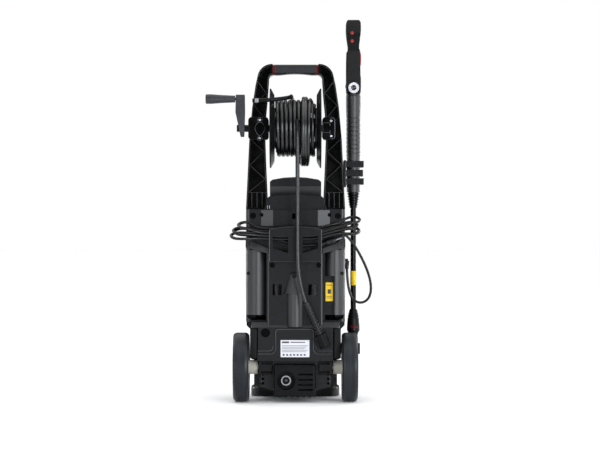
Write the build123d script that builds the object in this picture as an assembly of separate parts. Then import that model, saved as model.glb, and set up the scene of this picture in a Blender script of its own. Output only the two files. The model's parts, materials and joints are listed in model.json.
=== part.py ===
from build123d import *
import math
import os

# Upright electric pressure washer with a hose reel, seen from its rear.
# Working frame in millimetres: +X right, +Y from the rear towards the front, +Z up, floor at z = 0,
# and the housing's own middle plane at x = 0. OUT moves that frame onto the part's origin.

# ---- driving dimensions ----
SIDE = 133.0            # half width of the housing
LOW_SIDE = 118.0        # half width of the housing beside the wheels
SPLIT_Y = -20.0         # plane between rear and front shells
BACK_Y = -88.0          # rear face of the upper band
PANEL_Y = -112.0        # rear face of the central panel
LOW_Y = -118.0          # rear face of the lower housing
COVER_Y = -135.0        # rear face of the pump cover
SHOULDER_Z = 514.0      # top of the housing, where the handle starts
WAIST_Z = 232.0         # foot of the two round columns
STEP_Z = 213.0          # top of the lower housing
LOW_Z = 110.0           # bottom of the rear shell
WALL = 4.0              # moulded wall

COLUMN_X = 105.0
COLUMN_R = 28.0
LEDGE_LOW_Y = -122.0    # the ledge's face leans from here at LEDGE_LOW_Z
LEDGE_HIGH_Y = -101.0   # to here at LEDGE_HIGH_Z
LEDGE_LOW_Z = 388.0
LEDGE_HIGH_Z = 440.0
SPINE_X = -1.0          # middle of the round spine on the central panel
HOOD_X = -4.0           # middle of the hood over the spine
SWITCH_Z = 430.0

ARM_REAR_Y = -45.0
ARM_FRONT_Y = 5.0
GRIP_TOP_Z = 907.0
GRIP_END_X = 62.0
GRIP_Y = -20.0
GRIP_Z = 892.2

REEL_Y = -60.0
REEL_Z = 732.0
FLANGE_R = 107.0
DRUM_R = 55.0
COIL_R = 78.0
SHAFT_R = 9.5
BEARING_R = 9.56
HOSE_D = 11.0

PIN_R = 4.0
PIN_BORE_R = 4.06
CRANK_Z = 811.0

WHEEL_R = 92.0
TYRE_IN = 124.0
TYRE_OUT = 166.0
AXLE_Y = -85.0
AXLE_R = 6.0
AXLE_BORE_R = 6.06

LANCE_X = 158.0
LANCE_Y = 32.0
TUBE_R = 7.6
GUN_HALF = 20.0
PORT_Z = 845.0          # hose inlet of the gun
LOCK_Z = 852.0
TRIGGER_Y = LANCE_Y - 9
TRIGGER_Z = 880.0

CORD_D = 7.0
GLAND_Y = -30.0
GLAND_Z = 372.0
GLAND_R = 9.0
THREAD_R = 13.2         # 3/4 inch garden-hose thread
INLET_X = -25.0
INLET_Z = 59.0
THREAD_LENGTH = 18.0
OUTLET_X = 73.0
OUTLET_Z = 163.0

X_LOW = -242.0          # outer end of the crank grip
X_HIGH = 186.0          # tips of the gun holder
Y_LOW = AXLE_Y - WHEEL_R
Y_HIGH = 150.0          # front edge of the foot
OUT = Pos(-(X_LOW + X_HIGH) / 2, -(Y_LOW + Y_HIGH) / 2, 0)


# ---- helpers ----
def block(x0, x1, y0, y1, z0, z1, r=0.0, upright=False):
    """A box between limits, with all edges or only the upright ones rounded."""
    solid = Pos((x0 + x1) / 2, (y0 + y1) / 2, (z0 + z1) / 2) * Box(x1 - x0, y1 - y0, z1 - z0)
    if r:
        edges = solid.edges().filter_by(Axis.Z) if upright else solid.edges()
        solid = fillet(edges, r)
    return solid


def rod_x(x0, x1, y, z, r):
    return Pos((x0 + x1) / 2, y, z) * Rot(0, 90, 0) * Cylinder(r, x1 - x0)


def rod_y(y0, y1, x, z, r):
    return Pos(x, (y0 + y1) / 2, z) * Rot(90, 0, 0) * Cylinder(r, y1 - y0)


def rod_z(z0, z1, x, y, r):
    return Pos(x, y, (z0 + z1) / 2) * Cylinder(r, z1 - z0)


def outline(points, r=0.0):
    """A closed flat outline with all corners rounded by r."""
    face = make_face(Polyline(*points, close=True))
    return fillet(face.vertices(), r) if r else face


def plate_y(sketch, y0, y1):
    """An outline drawn in X and Z, thickened from y0 to y1."""
    return extrude(Plane.XZ.offset(-y1) * sketch, amount=y1 - y0)


def plate_x(sketch, x0, x1):
    """An outline drawn in Y and Z, thickened from x0 to x1."""
    return extrude(Plane.YZ.offset(x0) * sketch, amount=x1 - x0)


def turned_x(profile, y, z):
    """A profile of (x, radius) points turned about an X axis through (y, z)."""
    return Pos(0, y, z) * revolve(make_face(Polyline(*profile, close=True)), axis=Axis.X)


def turned_z(profile, x, y):
    """A profile of (radius, z) points turned about a Z axis through (x, y)."""
    return Pos(x, y, 0) * revolve(make_face(Plane.XZ * Polyline(*profile, close=True)), axis=Axis.Z)


def mirrored(solid):
    return mirror(solid, about=Plane.YZ)


def both(solid):
    """The solid and its mirror image as two solids of one node."""
    return Compound(children=[solid, mirrored(solid)])


def route_tube(points, diameter, name):
    """A round tube of straight runs and tangent arcs as large as the runs allow."""
    spots = [Vector(*p) for p in points]
    runs = [b - a for a, b in zip(spots, spots[1:])]
    radii = []
    for before, after in zip(runs, runs[1:]):
        turn = math.radians(before.get_angle(after))
        radii.append(0.45 * min(before.length, after.length) / math.tan(turn / 2))
    path = FilletPolyline(*spots, radius=radii)
    start = Plane(origin=path @ 0, z_dir=path % 0)
    tube = sweep(start * Circle(diameter / 2), path=path)
    ideal = math.pi * diameter**2 / 4 * path.length
    print(name, "length", round(path.length), "radii", [round(r) for r in radii],
          "volume ratio", round(tube.volume / ideal, 4))
    return tube


nodes = {}


def keep(name, solid):
    nodes[name] = solid


# ---- housing ----
def front_solid(inset):
    """The smooth front half of the housing, drawn in by inset."""
    levels = [(30, 100, 116), (110, 113, 132), (195, 117, 138), (300, 129, 134), (400, 132, 118),
              (SHOULDER_Z, 132, 84)]
    faces = []
    for z, half, front in levels:
        depth = front - inset - 2 * SPLIT_Y + 40
        middle = (front - inset + 2 * SPLIT_Y - 40) / 2
        shape = RectangleRounded(2 * (half - inset), depth, 44 - inset)
        faces.append(Plane.XY.offset(z) * Pos(0, middle) * shape)
    return loft(faces)


def front_shell():
    solid = front_solid(0)
    boss = rod_y(50, 118, 0, SWITCH_Z, 34)
    inner = front_solid(WALL) & block(-200, 200, -200, 200, 34, 510)
    solid = (solid + boss) - (inner - rod_y(96, 118, 0, SWITCH_Z, 34))
    solid -= rod_y(40, 130, 0, SWITCH_Z, PIN_BORE_R)
    solid &= block(-200, 200, SPLIT_Y, 200, 0, 600)
    slots = [block(LOW_SIDE - 20, SIDE + 10, 20, 84, z, z + 5, 2) for z in range(250, 400, 14)]
    for slot in slots:
        solid -= slot
        solid -= mirrored(slot)
    return solid


SCREW_DEPTH = 14.0
SCREW_HOLES = [(-114, BACK_Y, 497, 8.6), (-91, BACK_Y, 499, 5.2), (91, BACK_Y, 499, 5.2),
               (113, BACK_Y, 496, 8.0), (-62, PANEL_Y, 365, 6.8), (62, PANEL_Y, 365, 6.8), (-80, LOW_Y, 185, 12)]


def rear_shell():
    band = block(-SIDE, SIDE, BACK_Y, SPLIT_Y, WAIST_Z - 19, SHOULDER_Z, 9, upright=True)
    facets = outline([(-92, BACK_Y - 3), (-60, BACK_Y - 7), (60, BACK_Y - 7), (92, BACK_Y - 3), (92, -60),
                      (-92, -60)])
    band += extrude(Plane.XY.offset(470) * facets, amount=42)
    for x in (-50, -18, 19, 48):
        band += block(x - 0.9, x + 0.9, BACK_Y - 8, BACK_Y, 472, 511)
    panel = block(-76, 73, PANEL_Y, SPLIT_Y, STEP_Z - 10, 400, 5, upright=True)
    lower = plate_x(outline([(LOW_Y, LOW_Z), (LOW_Y, STEP_Z - 14), (LOW_Y + 14, STEP_Z), (SPLIT_Y, STEP_Z),
                             (SPLIT_Y, LOW_Z)]), -LOW_SIDE, LOW_SIDE)
    lower &= block(-LOW_SIDE, LOW_SIDE, LOW_Y, SPLIT_Y, LOW_Z, STEP_Z, 8, upright=True)
    corner = block(100, 140, -140, -58, LOW_Z - 5, 198)
    lower = lower - corner - mirrored(corner)
    column = rod_z(WAIST_Z, 405, COLUMN_X, BACK_Y + 11, COLUMN_R)
    column_cover = block(COLUMN_X - COLUMN_R, COLUMN_X + COLUMN_R, BACK_Y + 11, SPLIT_Y - 10, WAIST_Z, 405)
    ledge = plate_y(outline([(72, 396), (133, 412), (133, 435), (72, 409)], 1.5), LEDGE_LOW_Y, BACK_Y + 5)
    ledge &= plate_x(outline([(LEDGE_LOW_Y, LEDGE_LOW_Z), (LEDGE_HIGH_Y, LEDGE_HIGH_Z),
                              (BACK_Y + 5, LEDGE_HIGH_Z), (BACK_Y + 5, LEDGE_LOW_Z)]), 70, 140)
    solid = band + panel + lower
    for piece in (column, column_cover, ledge):
        solid += piece
        solid += mirrored(piece)
    raised = plate_y(outline([(-101, LOW_Z), (-101, 130), (-60, 130), (-53, 137), (-53, 195), (48, 195),
                              (48, 137), (55, 130), (96, 130), (96, LOW_Z)], 4), LOW_Y - 5, LOW_Y + 5)
    spine = rod_z(STEP_Z - 12, 300, SPINE_X, PANEL_Y + 6, 22.5)
    hood = Pos(HOOD_X, PANEL_Y + 8, 312) * Cone(29, 15.5, 44) + Pos(HOOD_X, PANEL_Y + 8, 334) * Sphere(15.6)
    solid = solid + raised + spine + hood

    # hollow inside
    solid -= block(-SIDE + WALL, SIDE - WALL, BACK_Y + WALL, 0, WAIST_Z - 15, SHOULDER_Z - WALL)
    solid -= block(-70, 67, PANEL_Y + WALL, 0, STEP_Z - 20, 396)
    solid -= block(-96, 96, LOW_Y + WALL, 0, LOW_Z - 1, STEP_Z - 16)
    solid -= block(-LOW_SIDE + WALL, LOW_SIDE - WALL, -54, 0, LOW_Z - 1, STEP_Z - 16)
    lip = plate_y(outline([(108, 188), (121, 188), (SIDE, 200), (SIDE, 316), (108, 316)]), SPLIT_Y - WALL, SPLIT_Y)
    solid = solid + lip + mirrored(lip)
    for x, y, z, r in SCREW_HOLES:
        solid += rod_y(y + WALL - 1, y + SCREW_DEPTH + WALL, x, z, r + 2.5)

    # recesses seen from behind
    solid -= block(77, 104, -120, BACK_Y + 2, WAIST_Z - 2, 336)
    for x, y, z, r in SCREW_HOLES:
        solid -= rod_y(y - 12, y + SCREW_DEPTH, x, z, r)
    for x in (-126, 124):
        solid -= rod_y(-110, BACK_Y + 3.2, x, 343, 4.8)
    for x in (-57.5, 56.5):
        solid -= block(x - 8.5, x + 8.5, PANEL_Y - 1, PANEL_Y + 2.5, 358, 371)
    solid -= rod_y(-140, PANEL_Y + 2, HOOD_X + 1, 336, 6)
    undercut = plate_y(outline([(-131, 231.5), (-127, 222), (-112, 215.5), (-79, 214.5), (-79, 231.5)], 1.5),
                       BACK_Y - 1, BACK_Y + WALL + 1)
    solid = solid - undercut - mirrored(undercut)
    solid -= block(-9, 5, BACK_Y - 9, BACK_Y + WALL + 2, 488, 503, 2)
    for x0, x1 in ((-61, -37), (34, 58)):
        opening = block(x0, x1, PANEL_Y - 1, PANEL_Y + WALL + 1, 285, 314, 1.2)
        bar = block((x0 + x1) / 2 - 2, (x0 + x1) / 2 + 2, PANEL_Y + 0.6, PANEL_Y + WALL + 2, 284, 315)
        solid -= opening - bar
    solid -= rod_y(-140, -60, OUTLET_X, OUTLET_Z, 13)
    solid -= rod_x(SIDE - 8, SIDE + 2, GLAND_Y, GLAND_Z, GLAND_R)
    return solid


def base_pan():
    solid = block(-96, 96, -100, SPLIT_Y, 40, LOW_Z - 0.3, 6, upright=True)
    solid += block(-112, 112, -55, SPLIT_Y, 40, LOW_Z - 0.3, 6, upright=True)
    solid += plate_y(outline([(-96, 47), (-96, 41), (-58, 29), (54, 29), (92, 41), (92, 47)]), -100, -95)
    solid -= block(-92, 92, -90, 0, 46, 200)
    solid -= rod_x(-150, 150, AXLE_Y, WHEEL_R, AXLE_R + 1)
    seat = block(61.5, 120, -115, -59, 72.5, 115)
    solid = solid - seat - mirrored(seat)
    solid -= rod_y(-130, 0, INLET_X, INLET_Z, THREAD_R + 1)
    for z in (46, 58, 70):
        slot = block(84, 91, -104, -80, z, z + 6)
        solid = solid - slot - mirrored(slot)
    return solid


def axle_carrier():
    solid = block(62, 98.5, -114, -60, 73, 109.5, 2)
    for z in (80, 103.5):
        solid -= block(60, 91, -116, -96, z - 3, z + 3)
    return solid - rod_x(50, 130, AXLE_Y, WHEEL_R, AXLE_R)


def corner_guard():
    solid = block(102.3, 121, LOW_Y - 1.5, -60, 116, 197, 3)
    return solid - block(100, 118, -112, -50, 120, 193)


def pump_cover():
    solid = block(-58, 54, COVER_Y, -80, 14, 101, 6) & block(-58, 54, COVER_Y, -100.3, 14, 101)
    solid -= block(-54, 50, COVER_Y + WALL, -80, 18, 97)
    cup = rod_y(COVER_Y + 1, -109, INLET_X, INLET_Z, 28)
    solid += cup - rod_y(COVER_Y, -112, INLET_X, INLET_Z, 25)
    solid -= rod_y(COVER_Y - 1, -112, INLET_X, INLET_Z, 25)
    solid -= rod_y(COVER_Y, -100, INLET_X, INLET_Z, THREAD_R + 0.3)
    for z in (34.5, 48, 61.5, 75.5):
        solid -= block(7, 46, COVER_Y - 1, COVER_Y + 6, z - 2.5, z + 2.5, 1.5)
    for step in range(7):
        solid -= rod_y(COVER_Y - 2, COVER_Y + 30, -50 + step * 16, 11.5, 6.5)
    return solid


def front_foot():
    plan = Pos(-1, (52 + Y_HIGH) / 2) * RectangleRounded(244, Y_HIGH - 52, 22)
    solid = extrude(Plane.XY.offset(3) * plan, amount=23)
    solid = fillet(solid.faces().sort_by(Axis.Z)[-1].edges(), 4)
    solid -= front_solid(-0.2) & block(-200, 200, -200, 200, 24, 200)
    return solid + block(-80, 80, 60, 100, 20, 29.5)


def foot_pads():
    pad = block(60, 100, 110, 140, 0, 3, 6, upright=True)
    return both(pad)


def top_cover():
    arch = ThreePointArc((69, 549.6), (0, 553.4), (-69, 549.6))
    face = make_face(arch + Polyline((-69, 549.6), (-69, 588), (-62, 594), (-30, 599.5), (0, 601),
                                     (30, 599.5), (62, 594), (69, 588), (69, 549.6)))
    solid = plate_y(face, -72, 22)
    solid = fillet(solid.faces().sort_by(Axis.Y)[0].edges().group_by(Axis.Z)[-1], 3)
    solid &= plate_x(outline([(-72, 602), (-72, 576), (-61, 548), (22, 548), (22, 602)]), -80, 80)
    for x in (-50, 50):
        solid -= rod_y(-73, -71, x, 583, 4.5)
    return solid - block(-64, 64, -57, 17, 552, 584)


def neck_cover():
    arch = ThreePointArc((-70, 549), (0, 553), (70, 549))
    face = make_face(arch + Polyline((70, 549), (74, 546), (84, 514.3), (-84, 514.3), (-74, 546), (-70, 549)))
    solid = plate_y(face, -80, 30)
    solid -= block(-66, 66, -75, 25, 513, 545)
    for x in (-75, -70):
        solid += block(x - 1.2, x + 1.2, -82, -79, 515, 525)
    solid -= rod_y(-81, -76, -4, 521, 5.5)
    solid -= rod_y(-81, -76, 76, 519, 3)
    seat = block(75.6, 90, ARM_REAR_Y - 0.5, ARM_FRONT_Y + 0.5, 514, 556)
    return solid - seat - mirrored(seat)


def cord_hook():
    face = outline([(-70, 374), (-70, 461), (-35, 467), (0, 469.5), (35, 467), (70, 461), (70, 374)])
    plate = plate_y(face, -137, -131)
    plate = fillet(plate.faces().sort_by(Axis.Y)[0].edges(), 1.5)
    window = outline([(-60, 410), (-60, 442.5), (60, 442.5), (60, 410), (0, 391)], 1)
    plate -= plate_y(window, -140, -130) - block(-19.5, 19, -137, -131, 380, 450)
    foot = plate_y(outline([(-70, 374), (-70, 396), (70, 396), (70, 374)], 1.5), -131, PANEL_Y)
    return plate + foot


# ---- handle ----
OUTER_SIDE = [(134, 514.3), (131, 575), (125, 700), (117, 790), (108, 850), (103, 872)]
INNER_SIDE = [(76, 514.3), (76, 550), (80, 640), (82, 700), (80, 765), (75, 820), (72, 864)]


def arm_outline():
    line = Polyline(*OUTER_SIDE) + ThreePointArc(OUTER_SIDE[-1], (91, 896), (GRIP_END_X, GRIP_TOP_Z))
    line += Polyline((GRIP_END_X, GRIP_TOP_Z), (GRIP_END_X, 877))
    line += ThreePointArc((GRIP_END_X, 877), (69.5, 873.5), INNER_SIDE[-1])
    line += Polyline(*INNER_SIDE[::-1]) + Line(INNER_SIDE[0], OUTER_SIDE[0])
    return make_face(line)


def side_at(points, z):
    """The X of a side line at height z."""
    for (x0, z0), (x1, z1) in zip(points, points[1:]):
        if z0 <= z <= z1:
            return x0 + (x1 - x0) * (z - z0) / (z1 - z0)
    return points[-1][0]


def rib(start, end, thick=2.4):
    """A straight stiffening rib in the arm's open back, between two (x, z) points."""
    length = math.dist(start, end)
    angle = math.degrees(math.atan2(end[1] - start[1], end[0] - start[0]))
    middle = ((start[0] + end[0]) / 2, (start[1] + end[1]) / 2)
    flat = Pos(*middle) * Rot(0, 0, angle) * Rectangle(length, thick)
    return plate_y(flat, ARM_REAR_Y + 2, ARM_REAR_Y + 34)


def handle_arm():
    face = arm_outline()
    solid = plate_y(face, ARM_REAR_Y, ARM_FRONT_Y)
    solid = fillet(solid.faces().sort_by(Axis.Y)[-1].edges(), 5)
    pocket = plate_y(offset(face, amount=-5), ARM_REAR_Y - 1, ARM_REAR_Y + 34)
    ribs = None
    levels = [560, 596, 634, 670, 703, 763, 795, 828, 858]
    for step, (low, high) in enumerate(zip(levels, levels[1:])):
        if low == 703:
            continue
        sides = (INNER_SIDE, OUTER_SIDE) if step % 2 else (OUTER_SIDE, INNER_SIDE)
        one = rib((side_at(sides[0], low), low), (side_at(sides[1], high), high))
        ribs = one if ribs is None else ribs + one
    for x in (90, 104, 118):
        ribs += rib((x, 515), (x, 560))
    ribs += rib((76, 560), (132, 560))
    ribs += block(70, 130, ARM_REAR_Y + 1, ARM_REAR_Y + 34, 705, 761)
    return solid - (pocket - ribs)


def grip():
    bar = plate_x(Pos(GRIP_Y, GRIP_Z) * RectangleRounded(31.6, 28.6, 9), -54, 54)
    arch = ThreePointArc((-54, 876), (0, 881.5), (54, 876))
    arch += Polyline((54, 876), (54, 860), (-54, 860), (-54, 876))
    return bar - plate_y(make_face(arch), -50, 10)


def grip_accents():
    ring = plate_x(Pos(GRIP_Y, GRIP_Z) * RectangleRounded(32, 28.6, 9), 54, 58)
    inner = plate_x(Pos(GRIP_Y, GRIP_Z) * RectangleRounded(31, 28, 9), 58, GRIP_END_X)
    return both(ring + inner)


# ---- hose reel ----
BEARINGS = [(-127, -72, -95.5, 12, (705, 753.5)), (71.5, 106, 95, 6.5, (710.5, 751))]


def reel_bearings():
    shapes = []
    for x0, x1, middle, boss_r, screws in BEARINGS:
        sketch = Pos((x0 + x1) / 2, REEL_Z - 1) * RectangleRounded(x1 - x0, 62, 10)
        plate = plate_y(sketch, -82, ARM_REAR_Y - 4)
        body = fillet(plate.faces().sort_by(Axis.Y)[0].edges(), 2) + block(x0, x1, -60, ARM_REAR_Y, 717, 748)
        body += rod_y(-86, -80, middle, REEL_Z, boss_r)
        body -= rod_x(x0 - 1, x1 + 1, REEL_Y, REEL_Z, BEARING_R)
        for z in screws:
            body += rod_y(-85, -80, middle, z, 5.2)
            body -= rod_y(-86, -83.6, middle, z, 3.4)
        shapes.append(body)
    return Compound(children=shapes)


def flange(sign):
    profile = [(57, 20), (57, 90), (66, FLANGE_R), (69, FLANGE_R), (69, 102), (61.5, 88), (61.5, 20)]
    solid = turned_x(profile, REEL_Y, REEL_Z) - rod_x(40, 80, REEL_Y, REEL_Z, SHAFT_R)
    for turn in range(6):
        a = math.radians(60 * turn + 30)
        solid -= rod_x(50, 70, REEL_Y + 70 * math.cos(a), REEL_Z + 70 * math.sin(a), 9)
    solid += rod_x(61.5, 70.5, REEL_Y, REEL_Z, 24) - rod_x(40, 80, REEL_Y, REEL_Z, SHAFT_R)
    return solid if sign > 0 else mirrored(solid)


def reel_drum():
    drum = rod_x(-57, 57, REEL_Y, REEL_Z, DRUM_R) - rod_x(-53, 53, REEL_Y, REEL_Z, DRUM_R - 4)
    return drum - rod_x(-80, 80, REEL_Y, REEL_Z, SHAFT_R)


def reel_shaft():
    return rod_x(-158, 105, REEL_Y, REEL_Z, SHAFT_R)


def hose_coil():
    profile = [(-56.5, DRUM_R + 0.1), (-56.5, 74), (-50, COIL_R), (14, COIL_R), (18, 91), (40, 91), (44, 80),
               (56.5, 80), (56.5, DRUM_R + 0.1)]
    return turned_x(profile, REEL_Y, REEL_Z)


def crank_arm():
    face = outline([(-160.5, 822.5), (-136.5, 822.5), (-136, 775), (-138, 709), (-147.5, 709), (-154.5, 742),
                    (-161.5, 775)], 1.5)
    side = outline([(REEL_Y - 14, 722), (REEL_Y - 15, 732), (REEL_Y - 12, 822.4), (REEL_Y + 12, 822.4),
                    (REEL_Y + 15, 732), (REEL_Y + 14, 722), (REEL_Y + 8, 709), (REEL_Y - 8, 709)], 3)
    solid = plate_y(face, REEL_Y - 20, REEL_Y + 20) & plate_x(side, -170, -130)
    solid += rod_y(REEL_Y - 14, REEL_Y - 11, -149.5, CRANK_Z, 7)
    solid -= rod_x(-158, -120, REEL_Y, REEL_Z, SHAFT_R)
    return solid + rod_x(-236, -150, REEL_Y, CRANK_Z, PIN_R)


def crank_grip():
    profile = [(X_LOW, 0), (X_LOW, 11), (X_LOW + 2, 13), (-226, 13), (-200, 11), (-170, 9.6), (-162.5, 9.2),
               (-162.5, 0)]
    solid = turned_x(profile, REEL_Y, CRANK_Z)
    return solid - rod_x(-237, -150, REEL_Y, CRANK_Z, PIN_BORE_R)


# ---- wheels ----
def tyre(sign):
    profile = [(TYRE_IN, 68), (TYRE_IN, 86), (TYRE_IN + 4, 90.5), (TYRE_IN + 9, WHEEL_R),
               (TYRE_OUT - 9, WHEEL_R), (TYRE_OUT - 4, 90.5), (TYRE_OUT, 86), (TYRE_OUT, 68)]
    solid = turned_x(profile, AXLE_Y, WHEEL_R)
    return solid if sign > 0 else mirrored(solid)


def wheel_disc(sign):
    profile = [(101, 0), (101, 19), (TYRE_IN + 1, 19), (TYRE_IN + 12, 22), (TYRE_IN + 16, 58),
               (TYRE_IN + 0.5, 62), (TYRE_IN + 0.5, 68), (TYRE_OUT - 0.5, 68), (TYRE_OUT - 0.5, 62),
               (TYRE_IN + 22, 58), (TYRE_IN + 20, 26), (TYRE_IN + 37, 22), (TYRE_IN + 37, 0)]
    solid = turned_x(profile, AXLE_Y, WHEEL_R) - rod_x(90, 180, AXLE_Y, WHEEL_R, AXLE_BORE_R)
    for turn in range(5):
        a = math.radians(72 * turn + 90)
        solid -= rod_x(TYRE_IN, TYRE_OUT, AXLE_Y + 41 * math.cos(a), WHEEL_R + 41 * math.sin(a), 10)
    for turn in range(24):
        a = math.radians(15 * turn)
        solid -= rod_x(100, 122, AXLE_Y + 19.6 * math.cos(a), WHEEL_R + 19.6 * math.sin(a), 1.3)
    return solid if sign > 0 else mirrored(solid)


def axle_caps():
    cap = rod_x(162, TYRE_OUT, AXLE_Y, WHEEL_R, 12) - rod_x(150, 164, AXLE_Y, WHEEL_R, AXLE_R)
    return both(cap)


# ---- gun and lance ----
def gun_solid():
    handle = [(-19, 832), (-34, 836), (-40, 846), (-40, 866), (-30, 878), (-8, 880), (-2, 900), (3, 930),
              (6, 968), (-2, 984), (-22, 984), (-38, 990), (-38, 1012), (-26, 1031), (6, 1035), (34, 1029),
              (39, 1006), (33, 950), (24, 900), (20, 868), (20, 832)]
    guard = [(-40, 862), (-47, 905), (-49, 945), (-42, 996), (-32, 996), (-39, 945), (-37, 905), (-30, 868)]
    body = plate_x(outline([(LANCE_Y + u, z) for u, z in handle], 3), LANCE_X - GUN_HALF, LANCE_X + GUN_HALF)
    body = fillet(body.faces().sort_by(Axis.X)[-1].edges() + body.faces().sort_by(Axis.X)[0].edges(), 2.5)
    loop = plate_x(outline([(LANCE_Y + u, z) for u, z in guard], 2), LANCE_X - 17, LANCE_X + 17)
    right_side = [(19, 820), (20, 850), (19.5, 915), (18.5, 945), (14.6, 951), (15, 962), (19, 990), (20, 1006),
                  (19.5, 1025), (13, 1036)]
    both_sides = right_side + [(-x, z) for x, z in right_side[::-1]]
    solid = (body + loop) & plate_y(outline([(LANCE_X + x, z) for x, z in both_sides], 1.2), -60, 120)
    solid -= block(LANCE_X - 10, LANCE_X + 10, LANCE_Y - 26, LANCE_Y + 12, 836, 868)
    solid -= block(LANCE_X - 8.5, LANCE_X + 8.5, LANCE_Y - 29, LANCE_Y + 4, 867, 910)
    solid -= rod_y(LANCE_Y - 60, LANCE_Y - 20, LANCE_X, PORT_Z, 10)
    solid -= rod_z(825, 840, LANCE_X, LANCE_Y, 8)
    solid -= rod_x(LANCE_X - 16, LANCE_X + 16, TRIGGER_Y, TRIGGER_Z, 2.5)
    return solid - rod_x(LANCE_X - 30, LANCE_X - 9, LANCE_Y + 2, LOCK_Z, 5.3)


def gun_shell(solid, sign):
    low, high = (LANCE_X, LANCE_X + 40) if sign > 0 else (LANCE_X - 40, LANCE_X)
    return solid & block(low, high, -60, 120, 820, 1040)


def gun_valve():
    solid = block(LANCE_X - 9, LANCE_X + 9, LANCE_Y - 25, LANCE_Y + 11, 837, 859)
    solid += rod_y(LANCE_Y - 41, LANCE_Y - 24, LANCE_X, PORT_Z, 9.8)
    solid += rod_y(LANCE_Y - 46, LANCE_Y - 40.2, LANCE_X, PORT_Z, 14.4)
    solid -= rod_y(LANCE_Y - 60, LANCE_Y - 18, LANCE_X, PORT_Z, 5.5)
    return solid + rod_z(826, 838, LANCE_X, LANCE_Y, 7.8)


def gun_trigger():
    shape = [(-9, 873), (-24, 884), (-27, 910), (-25, 940), (-27, 964), (-21, 968), (-16, 944), (-13, 915),
             (-6, 890), (-3, 879)]
    solid = plate_x(outline([(LANCE_Y + u, z) for u, z in shape], 1.5), LANCE_X - 7, LANCE_X + 7)
    solid -= rod_x(LANCE_X - 20, LANCE_X + 20, TRIGGER_Y, TRIGGER_Z, 2.56)
    return solid


def trigger_pin():
    return rod_x(LANCE_X - 16, LANCE_X + 16, TRIGGER_Y, TRIGGER_Z, 2.5)


def lock_button():
    return rod_x(LANCE_X - GUN_HALF - 1.5, LANCE_X - 12.5, LANCE_Y + 2, LOCK_Z, 5)


def gun_barrel():
    profile = [(6.5, 562), (18, 562), (18.0, 650), (18.6, 660)]
    for z in range(668, 770, 12):
        profile += [(19, z - 1.4), (17.6, z - 0.7), (17.6, z + 0.7), (19.2, z + 1.4)]
    profile += [(20, 800), (20, 824), (18.5, 831.7), (8.2, 831.7), (8.2, 820), (6.5, 818)]
    return turned_z(profile, LANCE_X, LANCE_Y)


def lance_coupling():
    profile = [(TUBE_R, 519), (10, 519)]
    for step in range(5):
        z = 526 + step * 7.4
        r = 10.5 + step * 1.1
        profile += [(r, z), (r + 1.8, z), (r + 1.8, z + 3.4), (r, z + 3.4)]
    profile += [(15, 561.7), (TUBE_R, 561.7)]
    return turned_z(profile, LANCE_X, LANCE_Y)


def lance_tube():
    solid = rod_z(242, 561.7, LANCE_X, LANCE_Y, TUBE_R) + rod_z(560, 600, LANCE_X, LANCE_Y, 6.4)
    return solid + rod_z(186, 243, LANCE_X, LANCE_Y, AXLE_R)


def nozzle_collar():
    profile = [(AXLE_R, 218), (15, 218)]
    for step in range(3):
        z = 221.5 + step * 6.5
        r = 14 - step * 1.5
        profile += [(r, z), (r + 1.2, z), (r + 1.2, z + 3), (r, z + 3)]
    profile += [(9, 242), (AXLE_R, 242)]
    return turned_z(profile, LANCE_X, LANCE_Y)


def nozzle_head():
    profile = [(0, 117), (9, 117), (10.5, 119), (11, 150), (11.5, 170), (14, 177), (17.8, 184), (17.2, 198),
               (15.6, 217.5), (AXLE_BORE_R, 217.5), (AXLE_BORE_R, 184), (0, 184)]
    solid = turned_z(profile, LANCE_X, LANCE_Y)
    solid -= rod_z(100, 190, LANCE_X, LANCE_Y, 1.5)
    return solid - rod_z(100, 124, LANCE_X, LANCE_Y, 5)


def clip(z0, z1, base_x, tip_x, radius, wall, base=6.0):
    """A U-shaped clip round the lance's line, open towards +X, with flared tips."""
    gap = radius + 0.4
    half = [(base_x, gap + wall), (tip_x - 8, gap + wall), (tip_x - 8, gap + wall + 3), (tip_x, gap + wall + 3),
            (tip_x, gap + 2), (tip_x - 8, gap), (base_x + base, gap)]
    profile = half + [(x, -u) for x, u in half[::-1]]
    face = make_face(Polyline(*[(x, LANCE_Y + u) for x, u in profile], close=True))
    return extrude(Plane.XY.offset(z0) * face, amount=z1 - z0)


def gun_holder():
    solid = block(130.5, 137.5, -25, LANCE_Y + 22, 575, 648, 2)
    solid -= plate_y(arm_outline(), ARM_REAR_Y, ARM_FRONT_Y + 0.01)
    for z0, z1, tip in ((629.6, 647, X_HIGH), (605, 622.7, X_HIGH - 2), (582.5, 599.7, X_HIGH)):
        solid += clip(z0, z1, 132, tip, 18, 3.2, base=5)
    return solid


def lance_clip():
    solid = clip(120, 148, 108, 176, 11.2, 3.2, base=30)
    return solid - front_solid(0)


# ---- water and hose ----
def water_inlet():
    stub = rod_y(-132, -132 + THREAD_LENGTH, INLET_X, INLET_Z, THREAD_R)
    stub += rod_y(-132 + THREAD_LENGTH, -60, INLET_X, INLET_Z, 11)
    return stub - rod_y(-140, -50, INLET_X, INLET_Z, 8.8)


GUARD_LOW = (70, -140, 170)
GUARD_TOP = (27, -150, 268)
TAIL = [(27, -150, 268), (17, -152, 296), (8, -154, 345), (5.5, -154, 400), (5.5, -152, 458),
        (5.5, -149, 518), (5.5, -147.5, 578), (5.5, -147, 636), (5.5, -145.2, 690), (5.5, -144.9, 732)]
FREE_END = [(-12, -62, 817), (-12, -118, 812), (-46, -153, 804), (-93, -153, 801)]


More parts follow.
